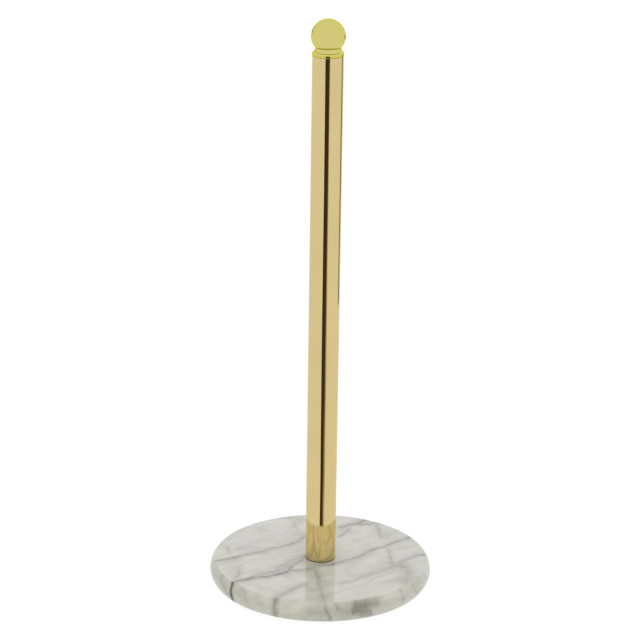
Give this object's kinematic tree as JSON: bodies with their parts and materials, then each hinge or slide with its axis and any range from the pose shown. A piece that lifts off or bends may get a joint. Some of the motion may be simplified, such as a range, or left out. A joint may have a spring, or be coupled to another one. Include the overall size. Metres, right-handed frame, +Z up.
{
  "type": "paper towel holder",
  "caption": "Countertop paper towel holder with a round marble base, a slim brass-coloured pole that unscrews and a ball finial that screws into its top.",
  "frame": {"origin": "on the table plane, under the middle of the base, on the pole's axis", "axes": "+Z up along the pole, towards the finial; +X and +Y lie between the foot pads"},
  "size_m": [0.14, 0.14, 0.3627],
  "materials": {
    "marble": "polished white marble with grey veins",
    "pad_rubber": "matt rubber",
    "gasket_rubber": "matt rubber",
    "zinc_steel": "bright zinc plate",
    "pole_brass": "polished light gold plate",
    "finial_brass": "polished yellow gold plate"
  },
  "bodies": {
    "base": {"marble_base": "marble", "foot_pad_1": "pad_rubber", "foot_pad_2": "pad_rubber", "foot_pad_3": "pad_rubber", "foot_pad_4": "pad_rubber", "flat_washer": "zinc_steel", "spring_washer": "zinc_steel", "base_screw": "zinc_steel"},
    "gasket": {"pole_gasket": "gasket_rubber"},
    "pole": {"pole_tube": "pole_brass", "pole_bottom_plug": "zinc_steel", "pole_top_plug": "zinc_steel", "finial_flange": "finial_brass"},
    "neck": {"finial_neck": "finial_brass"},
    "finial": {"finial_ball": "finial_brass", "finial_stud": "zinc_steel"}
  },
  "joints": [
    {"name": "pole_turn", "type": "hinge", "parent": "base", "child": "gasket", "pos_m": [0, 0, 0.015], "axis": [0, 0, 1], "range_deg": [0, 3600]},
    {"name": "pole_rise", "type": "slide", "parent": "gasket", "child": "pole", "axis": [0, 0, 1], "range_m": [0, 0.01]},
    {"name": "finial_turn", "type": "hinge", "parent": "pole", "child": "neck", "pos_m": [0, 0, 0.3432], "axis": [0, 0, 1], "range_deg": [0, 2700]},
    {"name": "finial_rise", "type": "slide", "parent": "neck", "child": "finial", "axis": [0, 0, 1], "range_m": [0, 0.0075]}
  ],
  "couplings": [
    {"joint": "pole_rise", "follows": "pole_turn", "m_per_rad": 0.00015915},
    {"joint": "finial_rise", "follows": "finial_turn", "m_per_rad": 0.00015915}
  ]
}
